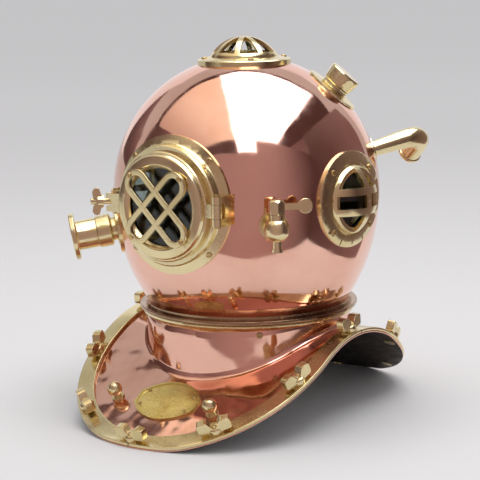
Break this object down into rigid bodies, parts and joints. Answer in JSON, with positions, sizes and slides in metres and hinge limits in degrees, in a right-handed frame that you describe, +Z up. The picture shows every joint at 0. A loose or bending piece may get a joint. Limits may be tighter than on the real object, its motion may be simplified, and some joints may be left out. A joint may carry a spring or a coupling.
{
  "type": "diving helmet",
  "caption": "Copper diving helmet with brass fittings: grilled windows, hinged front door with swing bolt, exhaust spool, cock, air elbow and breastplate clamped by wing nuts.",
  "frame": {"origin": "centre of the neck joint, on the plane where the bonnet ring meets the breastplate ring", "axes": "+Z up, -Y out of the face, +X to the diver's left; breastplate longest along Y"},
  "size_m": [0.376, 0.4698, 0.4589],
  "materials": {
    "copper": "polished copper sheet",
    "brass": "polished brass casting",
    "brass_aged": "brass with a brown tint in the hollows",
    "glass": "clear plate glass, dark inside",
    "rubber": "black rubber",
    "leather": "brown leather seal"
  },
  "bodies": {
    "breastplate": {"breastplate_shell": "copper", "neck_ring": "brass", "neck_gasket": "leather", "neck_ring_screws": "brass_aged", "strap_front_left": "brass", "strap_front_right": "brass", "strap_back_left": "brass", "strap_back_right": "brass", "clamp_studs": "brass", "nameplate": "brass", "nameplate_rivets": "brass_aged", "ball_studs": "brass"},
    "bonnet": {"bonnet_shell": "copper", "bonnet_ring": "brass", "bonnet_ring_pins": "brass", "front_window_seat": "brass", "front_window_screws": "brass_aged", "door_hinge_pin": "brass_aged", "swing_bolt_pin": "brass_aged", "door_gasket": "rubber", "side_light_frame_left": "brass", "side_light_glass_left": "glass", "side_light_gasket_left": "rubber", "side_light_screws_left": "brass_aged", "side_light_frame_right": "brass", "side_light_glass_right": "glass", "side_light_gasket_right": "rubber", "side_light_screws_right": "brass_aged", "top_light_frame": "brass", "top_light_glass": "glass", "top_light_gasket": "rubber", "top_light_screws": "brass_aged", "air_elbow": "brass", "exhaust_body": "brass", "spitcock_body": "brass", "plug_flange": "brass"},
    "door": {"door_frame": "brass", "door_glass": "glass", "door_glass_gasket": "rubber", "door_grille": "brass", "door_grille_screws": "brass_aged"},
    "swing_bolt": {"swing_bolt": "brass"},
    "door_wing_nut": {"door_wing_nut": "brass"},
    "exhaust_wheel": {"exhaust_wheel": "brass"},
    "exhaust_disc": {"exhaust_disc": "brass"},
    "spitcock_lever": {"spitcock_lever": "brass"},
    "plug_cap": {"plug_cap": "brass"},
    "wing_nut_01": {"wing_nut_01": "brass"},
    "wing_nut_02": {"wing_nut_02": "brass"},
    "wing_nut_03": {"wing_nut_03": "brass"},
    "wing_nut_04": {"wing_nut_04": "brass"},
    "wing_nut_05": {"wing_nut_05": "brass"},
    "wing_nut_06": {"wing_nut_06": "brass"},
    "wing_nut_07": {"wing_nut_07": "brass"},
    "wing_nut_08": {"wing_nut_08": "brass"},
    "wing_nut_09": {"wing_nut_09": "brass"},
    "wing_nut_10": {"wing_nut_10": "brass"},
    "wing_nut_11": {"wing_nut_11": "brass"},
    "wing_nut_12": {"wing_nut_12": "brass"}
  },
  "joints": [
    {"name": "bonnet_twist", "type": "hinge", "parent": "breastplate", "child": "bonnet", "pos_m": [0, 0, 0], "axis": [0, 0, 1], "range_deg": [0, 45]},
    {"name": "door_hinge", "type": "hinge", "parent": "bonnet", "child": "door", "pos_m": [0.0775, -0.167, 0.1445], "axis": [0, 0, 1], "range_deg": [0, 110]},
    {"name": "swing_bolt_hinge", "type": "hinge", "parent": "bonnet", "child": "swing_bolt", "pos_m": [-0.079, -0.157, 0.1445], "axis": [0, 0, -1], "range_deg": [-50, 40]},
    {"name": "door_nut_spin", "type": "hinge", "parent": "swing_bolt", "child": "door_wing_nut", "pos_m": [-0.09072, -0.16684, 0.1445], "axis": [-0.766, -0.6428, 0], "continuous": true},
    {"name": "exhaust_wheel_turn", "type": "hinge", "parent": "bonnet", "child": "exhaust_wheel", "pos_m": [-0.14053, -0.12216, 0.09622], "axis": [-0.7438, -0.6466, -0.1692], "range_deg": [0, 540]},
    {"name": "exhaust_disc_lift", "type": "slide", "parent": "bonnet", "child": "exhaust_disc", "axis": [-0.7438, -0.6466, -0.1692], "range_m": [0, 0.003], "stiffness_N_per_m": 120, "springref_m": -0.001},
    {"name": "spitcock_turn", "type": "hinge", "parent": "bonnet", "child": "spitcock_lever", "pos_m": [0.13356, -0.12898, 0.12286], "axis": [0, 0, -1], "range_deg": [0, 90]},
    {"name": "plug_cap_spin", "type": "hinge", "parent": "bonnet", "child": "plug_cap", "pos_m": [0.09754, 0.05407, 0.27055], "axis": [0.5795, 0.3212, 0.749], "continuous": true},
    {"name": "wing_nut_01_spin", "type": "hinge", "parent": "breastplate", "child": "wing_nut_01", "pos_m": [0, -0.23473, -0.11892], "axis": [0, -0.3, 0.9539], "continuous": true},
    {"name": "wing_nut_02_spin", "type": "hinge", "parent": "breastplate", "child": "wing_nut_02", "pos_m": [0.09622, -0.20208, -0.10215], "axis": [0, -0.4695, 0.8829], "continuous": true},
    {"name": "wing_nut_03_spin", "type": "hinge", "parent": "breastplate", "child": "wing_nut_03", "pos_m": [0.15118, -0.11634, -0.05656], "axis": [0, -0.4695, 0.8829], "continuous": true},
    {"name": "wing_nut_04_spin", "type": "hinge", "parent": "breastplate", "child": "wing_nut_04", "pos_m": [0.1555, -0.0113, -0.01581], "axis": [0, -0.0724, 0.9974], "continuous": true},
    {"name": "wing_nut_05_spin", "type": "hinge", "parent": "breastplate", "child": "wing_nut_05", "pos_m": [0.15118, 0.09458, -0.0465], "axis": [0, 0.5286, 0.8489], "continuous": true},
    {"name": "wing_nut_06_spin", "type": "hinge", "parent": "breastplate", "child": "wing_nut_06", "pos_m": [0.09622, 0.18032, -0.09989], "axis": [0, 0.5286, 0.8489], "continuous": true},
    {"name": "wing_nut_07_spin", "type": "hinge", "parent": "breastplate", "child": "wing_nut_07", "pos_m": [0, 0.21273, -0.11892], "axis": [0, 0.3, 0.9539], "continuous": true},
    {"name": "wing_nut_08_spin", "type": "hinge", "parent": "breastplate", "child": "wing_nut_08", "pos_m": [-0.09622, 0.18032, -0.09989], "axis": [0, 0.5286, 0.8489], "continuous": true},
    {"name": "wing_nut_09_spin", "type": "hinge", "parent": "breastplate", "child": "wing_nut_09", "pos_m": [-0.15118, 0.09458, -0.0465], "axis": [0, 0.5286, 0.8489], "continuous": true},
    {"name": "wing_nut_10_spin", "type": "hinge", "parent": "breastplate", "child": "wing_nut_10", "pos_m": [-0.1555, -0.0113, -0.01581], "axis": [0, -0.0724, 0.9974], "continuous": true},
    {"name": "wing_nut_11_spin", "type": "hinge", "parent": "breastplate", "child": "wing_nut_11", "pos_m": [-0.15118, -0.11634, -0.05656], "axis": [0, -0.4695, 0.8829], "continuous": true},
    {"name": "wing_nut_12_spin", "type": "hinge", "parent": "breastplate", "child": "wing_nut_12", "pos_m": [-0.09622, -0.20208, -0.10215], "axis": [0, -0.4695, 0.8829], "continuous": true}
  ]
}
